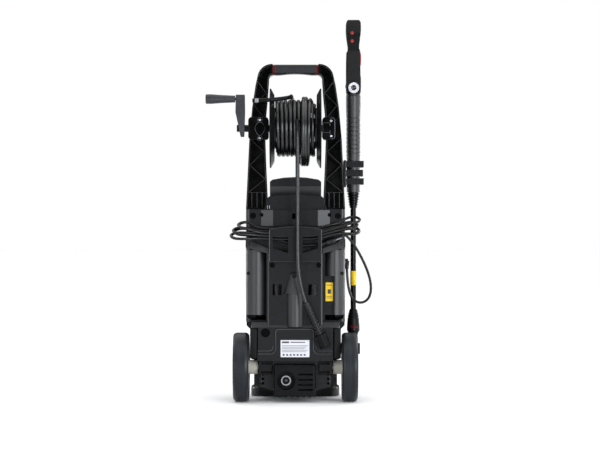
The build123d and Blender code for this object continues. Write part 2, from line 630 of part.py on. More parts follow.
def hose_boot():
    low, top = Vector(*GUARD_LOW), Vector(*GUARD_TOP)
    lean = top - low
    seat = Plane(origin=low - lean.normalized() * 24, z_dir=lean)
    boot = fillet(loft([seat * Circle(15), seat.offset(38) * Circle(16.5)]).edges(), 3)
    guard = extrude(seat.offset(30) * Circle(8.2), amount=lean.length - 6)
    return boot + guard + rod_y(-138, -70, OUTLET_X, OUTLET_Z, 12)


def hose_fitting():
    y, z = FREE_END[-1][1:]
    return rod_x(-96, -93, y, z, 6.6) + rod_x(-108, -96, y, z, 4.6) + rod_x(-114, -108, y, z, 5.6)


# ---- mains cord ----
LEAD = [(139, -30, 353), (140, -31, 332), (142, -32, 311), (146, -33, 291), (152.5, -34, 274),
        (165.5, -36, 263), (182.5, -39, 262), (196, -43, 271.5), (203, -47, 288), (203.5, -53, 311),
        (197.5, -61, 338), (185.5, -72, 368), (169, -85, 400), (150, -98, 429), (130, -104, 449), (107, -104, 460)]
HANK = [(-152, -109.5, 455), (-70, -109.5, 447), (60, -109.5, 449), (158, -109.5, 476)]
PLUG_START = Vector(80, -112, 424.5)
PLUG_END = Vector(126, -112, 438.5)


def cord_gland():
    top = Vector(*LEAD[0])
    lean = Vector(*LEAD[1]) - top
    seat = Plane(origin=top, z_dir=lean)
    cone = loft([seat.offset(-22) * Circle(8), seat * Circle(5)])
    return cone + rod_x(SIDE - WALL, 142, GLAND_Y, GLAND_Z, GLAND_R)


def cord_hank():
    path = FilletPolyline(*[Vector(*p) for p in HANK], radius=[160, 160])
    start = Plane(origin=path @ 0, x_dir=(0, 1, 0), z_dir=path % 0)
    body = sweep(start * RectangleRounded(37, 30, 11), path=path)
    for end, heading in ((path @ 0, -1), (path @ 1, 1)):
        seat = Plane(origin=end, x_dir=(0, 1, 0), z_dir=(path % (0 if heading < 0 else 1)) * heading)
        body += loft([seat * RectangleRounded(37, 30, 11), seat.offset(20) * RectangleRounded(22, 18, 8)])
    return body


def power_plug():
    lean = PLUG_END - PLUG_START
    seat = Plane(origin=PLUG_START, x_dir=(0, 1, 0), z_dir=lean)
    relief = loft([seat.offset(-20) * Circle(4.2), seat * Circle(6)])
    body = extrude(seat * Circle(8.5), amount=28)
    body = fillet(body.edges(), 2)
    solid = relief + body
    for side in (-1, 1):
        solid += extrude(seat.offset(27) * Pos(side * 5.5, 0) * Circle(2.2), amount=19)
    return solid


# ---- inside ----
MOTOR_Y = 20.0


def motor_housing():
    can = rod_z(236, 396, 0, MOTOR_Y, 58) - rod_z(240, 392, 0, MOTOR_Y, 40)
    return can - rod_z(200, 440, 0, MOTOR_Y, 8.06)


def motor_rotor():
    return rod_z(246, 386, 0, MOTOR_Y, 38.5) + rod_z(206, 428, 0, MOTOR_Y, 8)


def cooling_fan():
    solid = rod_z(404, 408, 0, MOTOR_Y, 50) + rod_z(404, 424, 0, MOTOR_Y, 14)
    for turn in range(8):
        solid += Pos(0, MOTOR_Y, 414) * Rot(0, 0, 45 * turn) * Pos(31, 0, 0) * Box(36, 2.5, 16)
    return solid - rod_z(400, 430, 0, MOTOR_Y, 8)


def thrust_plate():
    solid = rod_z(207, 216, 0, MOTOR_Y, 36) + rod_z(207, 228, 0, MOTOR_Y, 15)
    return solid - rod_z(200, 240, 0, MOTOR_Y, 8)


def pump_block():
    solid = rod_z(100, 176, 0, MOTOR_Y, 48) + block(-42, 42, MOTOR_Y - 42, MOTOR_Y + 42, 62, 101, 4)
    for turn in range(3):
        a = math.radians(120 * turn + 90)
        solid -= rod_z(110, 180, 24 * math.cos(a), MOTOR_Y + 24 * math.sin(a), 8.05)
    solid += rod_y(-60, MOTOR_Y - 40, INLET_X, 72, 10)
    return solid + rod_y(-69.7, MOTOR_Y - 30, 40, 140, 8)


def pump_pistons():
    rods = []
    for turn in range(3):
        a = math.radians(120 * turn + 90)
        x, y = 24 * math.cos(a), MOTOR_Y + 24 * math.sin(a)
        rods.append(rod_z(114, 206, x, y, 8) + rod_z(203, 206.4, x, y, 11))
    return Compound(children=rods)


def switch_box():
    solid = block(-32, 32, 74, 95, 412, 452, 2)
    return solid - rod_y(50, 100, 0, SWITCH_Z, PIN_BORE_R)


def switch_knob():
    solid = rod_y(118.4, 128, 0, SWITCH_Z, 24) + block(-6, 6, 126, 140, SWITCH_Z - 22, SWITCH_Z + 22, 3)
    return solid + rod_y(76, 119, 0, SWITCH_Z, PIN_R)


def housing_screws():
    heads = [rod_y(y + 4, y + SCREW_DEPTH - 0.05, x, z, r - 0.6) for x, y, z, r in SCREW_HOLES]
    return Compound(children=heads)


gun = gun_solid()
keep("front_shell", front_shell())
keep("rear_shell", rear_shell())
keep("base_pan", base_pan())
keep("axle_carriers", both(axle_carrier()))
keep("corner_guards", both(corner_guard()))
keep("pump_cover", pump_cover())
keep("front_foot", front_foot())
keep("foot_pads", foot_pads())
keep("top_cover", top_cover())
keep("neck_cover", neck_cover())
keep("cord_hook", cord_hook())
keep("handle_arm_right", handle_arm())
keep("handle_arm_left", mirrored(handle_arm()))
keep("handle_grip", grip())
keep("grip_accents", grip_accents())
keep("reel_bearings", reel_bearings())
keep("reel_flange_left", flange(-1))
keep("reel_flange_right", flange(1))
keep("reel_drum", reel_drum())
keep("reel_shaft", reel_shaft())
keep("hose_coil", hose_coil())
keep("crank_arm", crank_arm())
keep("crank_grip", crank_grip())
for name, sign in (("left", -1), ("right", 1)):
    keep("tyre_" + name, tyre(sign))
    keep("wheel_" + name, wheel_disc(sign))
keep("axle", rod_x(-164, 164, AXLE_Y, WHEEL_R, AXLE_R))
keep("axle_caps", axle_caps())
keep("gun_shell_left", gun_shell(gun, -1))
keep("gun_shell_right", gun_shell(gun, 1))
keep("gun_valve", gun_valve())
keep("gun_trigger", gun_trigger())
keep("trigger_pin", trigger_pin())
keep("lock_button", lock_button())
keep("gun_barrel", gun_barrel())
keep("lance_coupling", lance_coupling())
keep("lance_tube", lance_tube())
keep("nozzle_collar", nozzle_collar())
keep("nozzle_head", nozzle_head())
keep("gun_holder", gun_holder())
keep("lance_clip", lance_clip())
keep("water_inlet", water_inlet())
keep("hose_boot", hose_boot())
keep("hose_tail", route_tube(TAIL, HOSE_D, "hose_tail"))
keep("hose_free_end", route_tube(FREE_END, HOSE_D, "hose_free_end"))
keep("hose_fitting", hose_fitting())
keep("cord_gland", cord_gland())
keep("power_cord_lead", route_tube(LEAD, CORD_D, "power_cord_lead"))
keep("power_cord_hank", cord_hank())
keep("power_plug", power_plug())
keep("motor_housing", motor_housing())
keep("motor_rotor", motor_rotor())
keep("cooling_fan", cooling_fan())
keep("thrust_plate", thrust_plate())
keep("pump_block", pump_block())
keep("pump_pistons", pump_pistons())
keep("switch_box", switch_box())
keep("switch_knob", switch_knob())
keep("housing_screws", housing_screws())

os.makedirs("parts", exist_ok=True)
for name, solid in nodes.items():
    placed = [OUT * one for one in solid.solids()]
    export_step(placed[0] if len(placed) == 1 else Compound(children=placed), "parts/" + name + ".step")
print(len(nodes), "nodes")
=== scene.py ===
import json
import math
import random

import bmesh
import bpy
from mathutils import Matrix, Vector


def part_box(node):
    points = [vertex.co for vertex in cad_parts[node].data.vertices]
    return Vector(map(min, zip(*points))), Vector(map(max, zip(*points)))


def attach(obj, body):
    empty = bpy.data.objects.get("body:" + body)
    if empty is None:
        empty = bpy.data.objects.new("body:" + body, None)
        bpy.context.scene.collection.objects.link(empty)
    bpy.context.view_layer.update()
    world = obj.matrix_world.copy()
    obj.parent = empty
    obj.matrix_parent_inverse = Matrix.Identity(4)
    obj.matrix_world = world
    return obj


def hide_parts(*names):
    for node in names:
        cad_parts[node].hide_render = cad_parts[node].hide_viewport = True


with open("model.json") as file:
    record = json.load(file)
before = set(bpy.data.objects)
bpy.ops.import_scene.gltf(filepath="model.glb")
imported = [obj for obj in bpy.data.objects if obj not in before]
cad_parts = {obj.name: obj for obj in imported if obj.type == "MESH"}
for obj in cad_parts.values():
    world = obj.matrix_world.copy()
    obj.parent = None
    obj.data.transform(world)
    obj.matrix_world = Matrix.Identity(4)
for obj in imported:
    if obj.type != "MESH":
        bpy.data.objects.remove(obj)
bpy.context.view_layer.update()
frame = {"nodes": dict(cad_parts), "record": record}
NODES = frame["nodes"]
random.seed(7)

# ---- places: machine millimetres, x = 0 at the middle plane, turned into metres of the frame ----
grip_low, grip_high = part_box("handle_grip")
axle_low, axle_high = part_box("axle")
MIDDLE_X = (grip_low[0] + grip_high[0]) / 2
AXLE_Y = (axle_low[1] + axle_high[1]) / 2
AXLE_MM = -85.0


def at(x, y, z):
    """A point given in millimetres of the machine, as metres of the frame."""
    return Vector((MIDDLE_X + x / 1000, AXLE_Y + (y - AXLE_MM) / 1000, z / 1000))


def path_at(points):
    """A list of machine points, as points of the frame."""
    return [at(*p) for p in points]


def linked(name, data):
    """A new object in the scene, made of some data."""
    made = bpy.data.objects.new(name, data)
    bpy.context.scene.collection.objects.link(made)
    return made


# ---- camera ----
CAMERA_PLACE = (12, -5085, 472)
LENS_MM, SENSOR_MM = 112, 36


def make_camera():
    """A level camera far behind the machine, looking towards its front."""
    data = bpy.data.cameras.new("camera")
    data.lens = LENS_MM
    data.sensor_width = SENSOR_MM
    data.clip_end = 100
    camera = linked("camera", data)
    camera.location = at(*CAMERA_PLACE)
    camera.rotation_euler = (math.radians(90), 0, 0)
    bpy.context.scene.camera = camera


make_camera()


# ---- materials ----
# how square to an axis a face's normal is where the flat look starts and where it is full
FLAT_START, FLAT_FULL = 0.9997, 0.99998
GRAIN_DISTANCE = 0.0006


def new_material(name):
    """A new material, its node tree and its Principled BSDF."""
    material = bpy.data.materials.new(name)
    material.use_nodes = True
    tree = material.node_tree
    return material, tree, tree.nodes["Principled BSDF"]


def node(tree, kind, **values):
    """A new node, each value going to the input or the setting of that name."""
    made = tree.nodes.new(kind)
    for key, value in values.items():
        if key in made.inputs:
            made.inputs[key].default_value = value
        else:
            setattr(made, key, value)
    return made


def stretched_noise(tree, scale, stretch, detail, offset=0.0):
    """Noise in object space, stretched along the axes where stretch is small."""
    place = node(tree, "ShaderNodeTexCoord")
    mapping = node(tree, "ShaderNodeMapping")
    mapping.inputs["Scale"].default_value = stretch
    mapping.inputs["Location"].default_value = (offset, offset * 0.7, offset * 1.3)
    noise = node(tree, "ShaderNodeTexNoise", Scale=scale, Detail=detail)
    tree.links.new(place.outputs["Object"], mapping.inputs["Vector"])
    tree.links.new(mapping.outputs["Vector"], noise.inputs["Vector"])
    return noise.outputs["Fac"]


def ramp(tree, source, start, end):
    """A colour ramp between two (position, colour) stops."""
    made = node(tree, "ShaderNodeValToRGB")
    for element, (position, colour) in zip(made.color_ramp.elements, (start, end)):
        element.position = position
        element.color = (*colour, 1)
    tree.links.new(source, made.inputs["Fac"])
    return made.outputs["Color"]


def grey(value):
    """A neutral colour."""
    return (value, value, value)


def shade(colour, factor):
    """A colour made lighter or darker, and never above white."""
    return tuple(min(1.0, c * factor) for c in colour)


def flatness(tree):
    """1 on faces square to the machine's axes, 0 on rounded and sloping ones."""
    surface = node(tree, "ShaderNodeNewGeometry")
    axes = node(tree, "ShaderNodeSeparateXYZ")
    tree.links.new(surface.outputs["Normal"], axes.inputs["Vector"])
    largest = None
    for axis in ("X", "Y", "Z"):
        size = node(tree, "ShaderNodeMath", operation="ABSOLUTE")
        tree.links.new(axes.outputs[axis], size.inputs[0])
        if largest is None:
            largest = size
            continue
        both = node(tree, "ShaderNodeMath", operation="MAXIMUM")
        tree.links.new(largest.outputs["Value"], both.inputs[0])
        tree.links.new(size.outputs["Value"], both.inputs[1])
        largest = both
    flat = node(tree, "ShaderNodeMapRange")
    flat.inputs["From Min"].default_value = FLAT_START
    flat.inputs["From Max"].default_value = FLAT_FULL
    tree.links.new(largest.outputs["Value"], flat.inputs["Value"])
    return flat.outputs["Result"]


def moulded(name, colour, rough, grain=900.0, grain_depth=0.15, spread=0.16, stretch=(1, 1, 1), metallic=0.0,
            patch=9.0, specular=0.4, smear=0.08, curved=None):
    """Moulded plastic, rubber or metal: mottled colour, uneven gloss and a fine surface grain.

    curved is a (roughness, specular) pair for rounded and sloping faces. It is there for the look alone: it
    keeps their highlights broad while the flat faces stay dark.
    """
    material, tree, bsdf = new_material(name)
    patches = stretched_noise(tree, patch, stretch, 4.0)
    mottle = ramp(tree, patches, (0.3, shade(colour, 1 - spread)), (0.7, shade(colour, 1 + spread)))
    tree.links.new(mottle, bsdf.inputs["Base Color"])
    smears = stretched_noise(tree, patch * 3.1, stretch, 5.0, 3.0)
    low, high = max(0.03, rough - smear), min(1.0, rough + smear)
    gloss = ramp(tree, smears, (0.3, grey(low)), (0.75, grey(high)))
    if curved:
        curved_rough, curved_specular = curved
        flat = flatness(tree)
        rough_mix = node(tree, "ShaderNodeMix")
        rough_mix.inputs[2].default_value = curved_rough
        tree.links.new(flat, rough_mix.inputs[0])
        tree.links.new(gloss, rough_mix.inputs[3])
        gloss = rough_mix.outputs[0]
        shine = node(tree, "ShaderNodeMapRange")
        shine.inputs["To Min"].default_value = curved_specular
        shine.inputs["To Max"].default_value = specular
        tree.links.new(flat, shine.inputs["Value"])
        tree.links.new(shine.outputs["Result"], bsdf.inputs["Specular IOR Level"])
    tree.links.new(gloss, bsdf.inputs["Roughness"])
    fine = stretched_noise(tree, grain, stretch, 2.0, 8.0)
    bump = node(tree, "ShaderNodeBump", Strength=grain_depth, Distance=GRAIN_DISTANCE)
    tree.links.new(fine, bump.inputs["Height"])
    tree.links.new(bump.outputs["Normal"], bsdf.inputs["Normal"])
    bsdf.inputs["Metallic"].default_value = metallic
    bsdf.inputs["Specular IOR Level"].default_value = specular
    return material


MATERIALS = {
    "shell_grey": moulded("shell_grey", (0.0030, 0.0036, 0.0047), 0.29, 1400, 0.03, specular=0.24, smear=0.03,
                          curved=(0.46, 0.66)),
    "panel_grey": moulded("panel_grey", (0.0035, 0.0041, 0.0052), 0.31, 1400, 0.03, specular=0.20, smear=0.03,
                          curved=(0.46, 0.55)),
    "gloss_black": moulded("gloss_black", (0.0010, 0.0010, 0.0011), 0.22, 500, 0.02, specular=0.14),
    "matte_black": moulded("matte_black", (0.0016, 0.0016, 0.0018), 0.42, 1200, 0.08, specular=0.17),
    "slate_plastic": moulded("slate_plastic", (0.018, 0.0197, 0.0235), 0.42, 1300, 0.1, specular=0.36),
    "cover_grey": moulded("cover_grey", (0.0022, 0.0025, 0.0029), 0.36, 1400, 0.05, specular=0.12),
    "grip_grey": moulded("grip_grey", (0.0085, 0.0095, 0.0115), 0.45, 1300, 0.1, specular=0.26),
    "hub_grey": moulded("hub_grey", (0.42, 0.40, 0.35), 0.5, 1000, 0.12, spread=0.12),
    "tyre": moulded("tyre", (0.0075, 0.0098, 0.0130), 0.38, 160, 0.25, spread=0.6, stretch=(1.0, 0.03, 0.03),
                    patch=190, specular=0.26),
    "hose": moulded("hose", (0.0012, 0.0014, 0.0018), 0.29, 900, 0.004, specular=0.7, smear=0.02),
    "cord": moulded("cord", (0.0014, 0.0014, 0.0016), 0.33, 900, 0.03, specular=0.36),
    "steel": moulded("steel", (0.62, 0.62, 0.65), 0.3, 600, 0.05, spread=0.08, metallic=0.45, specular=0.5),
    "accent_red": moulded("accent_red", (0.26, 0.008, 0.006), 0.38, 900, 0.05),
    "dark_red": moulded("dark_red", (0.075, 0.003, 0.004), 0.38, 900, 0.05, specular=0.25),
    "dull_steel": moulded("dull_steel", (0.22, 0.22, 0.23), 0.42, 600, 0.05, spread=0.1, metallic=0.3),
    "iron": moulded("iron", (0.12, 0.12, 0.125), 0.55, 300, 0.3, metallic=0.6),
    "aluminium": moulded("aluminium", (0.55, 0.55, 0.57), 0.4, 300, 0.2, metallic=1.0),
    "label_white": moulded("label_white", (0.60, 0.60, 0.64), 0.4, 400, 0.02, spread=0.03),
    "label_yellow": moulded("label_yellow", (0.80, 0.53, 0.004), 0.42, 400, 0.02, spread=0.05),
    # near-black and barely reflecting: dark screw heads, and painted shade of the holes they sit in
    "dark_screw_hole_shade": moulded("dark_screw_hole_shade", (0.0008, 0.0008, 0.0009), 0.5, 900, 0.03, specular=0.04),
    "tail_hose": moulded("tail_hose", (0.0012, 0.0014, 0.0018), 0.26, 900, 0.004, specular=0.48, smear=0.02),
    "rim_black": moulded("rim_black", (0.005, 0.005, 0.0055), 0.33, 900, 0.03, specular=0.4),
    # a grey far lighter than the housing under it: painted highlight along raised edges, whose beads are real
    # shape
    "edge_highlight_grey": moulded("edge_highlight_grey", (0.035, 0.037, 0.042), 0.36, 900, 0.03, specular=0.6),
    "print_grey": moulded("print_grey", (0.03, 0.03, 0.033), 0.5, 400, 0.02, spread=0.1),
}


# ---- building pieces ----
def finish_piece(piece, body, material, smooth=True):
    """Gives a piece its body, material slot and look."""
    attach(piece, body)
    piece.data.materials.clear()
    piece.data.materials.append(MATERIALS[material])
    if smooth and piece.type == "MESH":
        for polygon in piece.data.polygons:
            polygon.use_smooth = True
    return piece


def mesh_piece(name, mesh):
    """An object made of a bmesh, which is then freed."""
    data = bpy.data.meshes.new(name)
    mesh.to_mesh(data)
    mesh.free()
    return linked(name, data)


def soften(piece, width):
    """Rounds a piece's sharp edges and keeps its flat faces flat."""
    bevel = piece.modifiers.new("bevel", "BEVEL")
    bevel.width = width
    bevel.segments = 2
    bevel.limit_method = "ANGLE"
    bevel.angle_limit = math.radians(35)
    bevel.harden_normals = False
    normals = piece.modifiers.new("normals", "WEIGHTED_NORMAL")
    normals.keep_sharp = False


def add_box(mesh, x0, x1, y0, y1, z0, z1):
    """A box between machine limits in millimetres."""
    middle = at((x0 + x1) / 2, (y0 + y1) / 2, (z0 + z1) / 2)
    size = Matrix.Diagonal(((x1 - x0) / 1000, (y1 - y0) / 1000, (z1 - z0) / 1000, 1))
    bmesh.ops.create_cube(mesh, size=1, matrix=Matrix.Translation(middle) @ size)


def along(start, direction):
    """The matrix that stands +Z on a line from a machine point."""
    turn = Vector(direction).to_track_quat("Z", "Y").to_matrix().to_4x4()
    turn.translation = at(*start)
    return turn


def skin(mesh, rings, looped=False):
    """Faces from ring to ring, and then back to the first ring, or else a cap at either end."""
    for low, high in zip(rings, rings[1:] + rings[:1] if looped else rings[1:]):
        for step in range(len(low)):
            after = (step + 1) % len(low)
            mesh.faces.new((low[step], low[after], high[after], high[step]))
    if not looped:
        mesh.faces.new(list(reversed(rings[0])))
        mesh.faces.new(rings[-1])
    bmesh.ops.recalc_face_normals(mesh, faces=mesh.faces)


def turned(name, profile, start, direction, steps=48, looped=False):
    """A piece turned about a line from start: (radius, distance) points in millimetres, looped for a ring."""
    mesh = bmesh.new()
    place = along(start, direction)
    rings = []
    for radius, distance in profile:
        ring = []
        for step in range(steps):
            a = 2 * math.pi * step / steps
            spot = Vector((radius * math.cos(a), radius * math.sin(a), distance)) / 1000
            ring.append(mesh.verts.new(place @ spot))
        rings.append(ring)
    skin(mesh, rings, looped)
    return mesh_piece(name, mesh)


def round_curve(name, bevel_resolution):
    """Curve data for round lines, whose points each hold the line's radius in metres."""
    data = bpy.data.curves.new(name, "CURVE")
    data.dimensions = "3D"
    data.bevel_depth = 1.0
    data.bevel_resolution = bevel_resolution
    data.use_fill_caps = True
    return data


def add_spline(data, kind, points, radius):
    """A spline through points of the frame."""
    spline = data.splines.new(kind)
    spline.points.add(len(points) - 1)
    for control, point in zip(spline.points, points):
        control.co = (*point, 1)
        control.radius = radius
    return spline


def bead(name, lines, radius, body, material):
    """Raised round lines along paths of machine points, one spline for each path."""
    data = round_curve(name, 3)
    for line in lines:
        add_spline(data, "POLY", path_at(line), radius / 1000)
    return finish_piece(linked(name, data), body, material)


def arc_points(middle_x, middle_z, radius, y, start, end, steps=10):
    """Points on an upright circle facing the rear, between two angles in degrees."""
    points = []
    for step in range(steps + 1):
        a = math.radians(start + (end - start) * step / steps)
        points.append((middle_x + radius * math.cos(a), y, middle_z + radius * math.sin(a)))
    return points


def cord_curve(name, points, diameter):
    """A cord on one smooth curve that reaches its first and last points."""
    data = round_curve(name, 5)
    data.resolution_u = 8
    spline = add_spline(data, "NURBS", points, diameter / 2)
    spline.order_u = 3
    spline.use_endpoint_u = True
    return linked(name, data)


# ---- cords ----
HOSE_D = 0.011
CORD_D = 0.007
REEL_Y, REEL_Z = -60, 732
COIL_STEPS = 16
COIL_SWELL = 1 / 0.981  # the smooth curve runs inside its points by this much
COIL_LAYERS = [  # turns, radius from and to, x from and to, drop below the reel's middle from and to
    (8.5, 60.8, 60.8, 50.0, -48.0, 0.0, 0.0),
    (0.5, 60.8, 71.6, -48.0, -50.0, 0.0, 0.0),
    (8.5, 71.6, 71.6, -50.0, 48.0, 0.0, 0.0),
    (1, 71.6, 88.5, 48.0, 31.0, 0.0, 8.5),
    (2, 88.5, 88.5, 31.0, 19.0, 8.5, 8.5),
    (0.5, 88.5, 85.0, 19.0, -12.0, 8.5, 0.0),
]
COIL_END_X, COIL_END_R = -12, 85
HANK_TURNS = 6
HANK_LINE = [(-176, 453), (-152, 455), (-70, 447), (60, 449), (158, 476), (182, 482)]
HANK_STOPS = (112, 62, 8, -48, -100)
HANK_END_ANGLES = (-5, 42, 90, 138, 185)
HANK_END_X, HANK_END_Y, HANK_END_Z = 25, 24, 9
HANK_Y, HANK_RUN_GAP, HANK_STAGGER = -109, 11.5, 6
HANK_PITCH_Y, HANK_PITCH_Z = 7.6, 7.4

TAIL = [(27, -150, 268), (17, -152, 296), (8, -154, 345), (5.5, -154, 400), (5.5, -152, 458),
        (5.5, -149, 518), (5.5, -147.5, 578), (5.5, -147, 636), (5.5, -145.2, 690), (5.5, -142, 730),
        (5.5, -135.5, 750)]
FREE_END = [(-12, -62, 817), (-12, -118, 812), (-46, -153, 804), (-93, -153, 801)]
LEAD = [(139, -30, 353), (140, -31, 332), (142, -32, 311), (146, -33, 291), (152.5, -34, 274),
        (165.5, -36, 263), (182.5, -39, 262), (196, -43, 271.5), (203, -47, 288), (203.5, -53, 311),
        (197.5, -61, 338), (185.5, -72, 368), (169, -85, 400), (150, -98, 429), (130, -104, 449),
        (107, -104, 460)]
PLUG_TAIL = [(-62, -116, 436), (-20, -117, 425), (20, -114, 415), (61, -112, 419)]


def coil_points():
    """Two full layers from the drum outwards, then loose turns hanging lower at the right."""
    points = []
    for turns, r0, r1, x0, x1, drop0, drop1 in COIL_LAYERS:
        count = int(turns * COIL_STEPS)
        for step in range(count):
            share = step / count
            angle = 2 * math.pi * len(points) / COIL_STEPS
            x = x0 + (x1 - x0) * share + random.uniform(-0.25, 0.25)
            r = (r0 + (r1 - r0) * share + random.uniform(-0.15, 0.15)) * COIL_SWELL
            drop = drop0 + (drop1 - drop0) * share
            points.append((x, REEL_Y - r * math.sin(angle), REEL_Z - drop + r * math.cos(angle)))
    points.append((COIL_END_X, REEL_Y, REEL_Z + COIL_END_R * COIL_SWELL))
    return points


def hank_height(x):
    """The height of the hank's middle line at x."""
    for (x0, z0), (x1, z1) in zip(HANK_LINE, HANK_LINE[1:]):
        if x <= x1:
            return z0 + (z1 - z0) * (x - x0) / (x1 - x0)
    return HANK_LINE[-1][1]


def hank_end(x, y, z, outward, angles):
    """The round end of a fold, bulging towards +X or -X as outward is 1 or -1."""
    points = []
    for angle in angles:
        a = math.radians(angle)
        points.append((x + outward * HANK_END_X * math.sin(a), y + HANK_END_Y * math.cos(a),
                       z + HANK_END_Z * math.cos(a)))
    return points


def hank_points():
    """Long flat loops behind the hook plate: a run towards -X at the back, a run towards +X in front."""
    points = []
    for turn in range(HANK_TURNS):
        first, last = turn == 0, turn == HANK_TURNS - 1
        layer = turn // 2
        side = (turn % 2 - 0.5) * HANK_PITCH_Y
        rise = (layer - 1) * HANK_PITCH_Z
        back, middle, front = HANK_Y + HANK_RUN_GAP + side, HANK_Y + side, HANK_Y - HANK_RUN_GAP + side
        left = (-147, -142, -130)[layer] + random.uniform(-3, 3)
        right = (149, 142, 147)[layer] + random.uniform(-3, 3)
        left_fan = (-4, 1, 12)[layer] + random.uniform(-2, 2)
        right_fan = (-8, 0, 7)[layer] + random.uniform(-2, 2)
        points += [(x, back, hank_height(x) + HANK_STAGGER + rise) for x in HANK_STOPS if x < 60 or not first]
        points += hank_end(left, middle, hank_height(left) + rise + left_fan, -1, HANK_END_ANGLES)
        points += [(x, front, hank_height(x) - HANK_STAGGER + rise)
                   for x in HANK_STOPS[::-1] if x < -60 or not last]
        if not last:
            points += hank_end(right, middle, hank_height(right) + rise + right_fan, 1, HANK_END_ANGLES[::-1])
    return points


def make_cords():
    """The three runs of hose and the mains cord, each in place of its plain solids."""
    tail = finish_piece(cord_curve("hose_tail_run", path_at(TAIL), HOSE_D), "root", "tail_hose")
    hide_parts("hose_tail")
    coil_route = coil_points()
    coil = finish_piece(cord_curve("hose_winding", path_at(coil_route), HOSE_D), "reel", "hose")
    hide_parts("hose_coil")
    free = finish_piece(cord_curve("hose_free_run", path_at(FREE_END), HOSE_D), "root", "cover_grey")
    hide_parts("hose_free_end")
    power = cord_curve("mains_cord", path_at(LEAD + hank_points() + PLUG_TAIL), CORD_D)
    finish_piece(power, "root", "cord")
    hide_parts("power_cord_lead", "power_cord_hank")
    plug, pins = make_plug()


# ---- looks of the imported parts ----
LOOKS = {
    "cord_hook": "panel_grey",
    "top_cover": "panel_grey",
    "lance_tube": "gloss_black",
    # the screw heads' colour is partly their own dark finish and partly painted shade of their holes
    "housing_screws": "dark_screw_hole_shade",
    "pump_cover": "cover_grey",
    "handle_grip": "grip_grey",
    "grip_accents": "dark_red",
    "front_foot": "shell_grey",
    "gun_holder": "shell_grey",
    "hose_boot": "cover_grey",
    "reel_flange_left": "cover_grey",
    "reel_flange_right": "cover_grey",
    "hose_fitting": "gloss_black",
    "water_inlet": "dull_steel",
}


def dress_nodes():
    """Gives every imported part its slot's material, or its own where it differs."""
    slots = {part["node"]: part["material_slot"] for part in frame["record"]["subparts"]}
    for name, part in NODES.items():
        look = LOOKS.get(name, slots[name])
        part.data.materials.clear()
        part.data.materials.append(MATERIALS[look])


# ---- small parts ----
def screw(name, x, y, z, radius, direction=(0, -1, 0)):
    """A domed screw head with a cross recess, its face at (x, y, z)."""
    steps = 32
    recess = radius * 0.55
    levels = [(radius, -1.6, False), (radius, -0.5, False), (radius * 0.9, 0, False),
              (recess * 1.1, 0.2, False), (recess, 0.1, True), (recess * 0.9, -1.2, True)]
    mesh = bmesh.new()
    place = along((x, y, z), direction)
    rings = []
    for size, depth, crossed in levels:
        ring = []
        for step in range(steps):
            a = 2 * math.pi * (step + 0.5) / steps
            in_arm = max(abs(math.cos(a)), abs(math.sin(a))) > 0.95
            r = size if in_arm or not crossed else size * 0.42
            ring.append(mesh.verts.new(place @ (Vector((r * math.cos(a), r * math.sin(a), depth)) / 1000)))
        rings.append(ring)
    skin(mesh, rings)
    finish_piece(mesh_piece(name, mesh), "root", "steel", smooth=False)


def make_screws():
    """Four screws at the reel's bearings and two on top of the front foot."""
    for index, (x, z) in enumerate(((-95.5, 753.5), (-95.5, 705), (95, 751), (95, 710.5)), start=1):
        screw(f"bearing_screw_{index}", x, -84.2, z, 3.3)
    for index, x in enumerate((-114, 112), start=1):
        screw(f"foot_screw_{index}", x, 60, 24, 3.5, direction=(0, 0, 1))


def label(name, x0, x1, y, z0, z1, material):
    """A thin plate between machine limits, its face at y."""
    mesh = bmesh.new()
    add_box(mesh, x0, x1, y - 0.4, y, z0, z1)
    piece = mesh_piece(name, mesh)
    finish_piece(piece, "root", material, smooth=False)
    soften(piece, 0.0002)


def printed_bars(name, y, bars):
    """Plain printed bars in place of any lettering."""
    mesh = bmesh.new()
    for x0, x1, z0, z1 in bars:
        add_box(mesh, x0, x1, y - 0.12, y, z0, z1)
    finish_piece(mesh_piece(name, mesh), "root", "print_grey", smooth=False)


def make_labels():
    """The white plate and the yellow label, each with its bars."""
    label("rating_plate", -39.5, 37, -123, 120.6, 166, "label_white")
    bars = [(-36, -17, 158, 162.5), (-13, 26, 159, 161.5)]
    for row in range(5):
        bars.append((-36, 32 - 4 * (row % 3), 150.5 - row * 4, 151.7 - row * 4))
    for column in range(7):
        bars.append((-34 + column * 9.3, -29 + column * 9.3, 124.5, 129))
    printed_bars("rating_plate_print", -123.4, bars)
    label("side_label", 80.5, 100.5, -86, 268, 318, "label_yellow")
    bars = [(84, 97, 310, 312), (86, 95, 288, 300), (84, 97, 280, 281.5), (84, 97, 276, 277.5)]
    printed_bars("side_label_print", -86.4, bars)


def make_gun_trim():
    """The gun's red dots and side strip, the lance's yellow band and the nozzle's red mark."""
    dome = [(4.8, -0.6), (4.8, 0.5), (3.8, 1.3), (1.5, 1.6)]
    for index, (y, z) in enumerate(((-10.2, 994), (-13.4, 972)), start=1):
        dot = turned(f"gun_dot_{index}", dome, (153.6, y, z), (0, -1, 0.137), 24)
        finish_piece(dot, "gun", "accent_red")
    strip = [(175.2, 6, 944), (177.0, 8, 936), (177.3, 12, 922), (176.8, 16, 908)]
    beside = [(x, y + 2.2, z) for x, y, z in strip]
    bead("gun_side_strip", [strip, beside], 1.6, "gun", "accent_red")
    lance_x, lance_y = 158, 32
    tube = [(7.6, 0), (8.3, 0.3), (8.3, 38.7), (7.6, 39)]
    band = turned("lance_band", tube, (lance_x, lance_y, 307), (0, 0, 1), 40)
    finish_piece(band, "gun", "label_yellow")
    patch = []
    for z in (191.5, 194, 196.5):
        arc = []
        for step in range(11):
            a = math.radians(-122 + 7.6 * step)
            arc.append((lance_x + 16.6 * math.cos(a), lance_y + 16.6 * math.sin(a), z))
        patch.append(arc)
    bead("nozzle_mark", patch, 1.7, "nozzle", "dark_red")


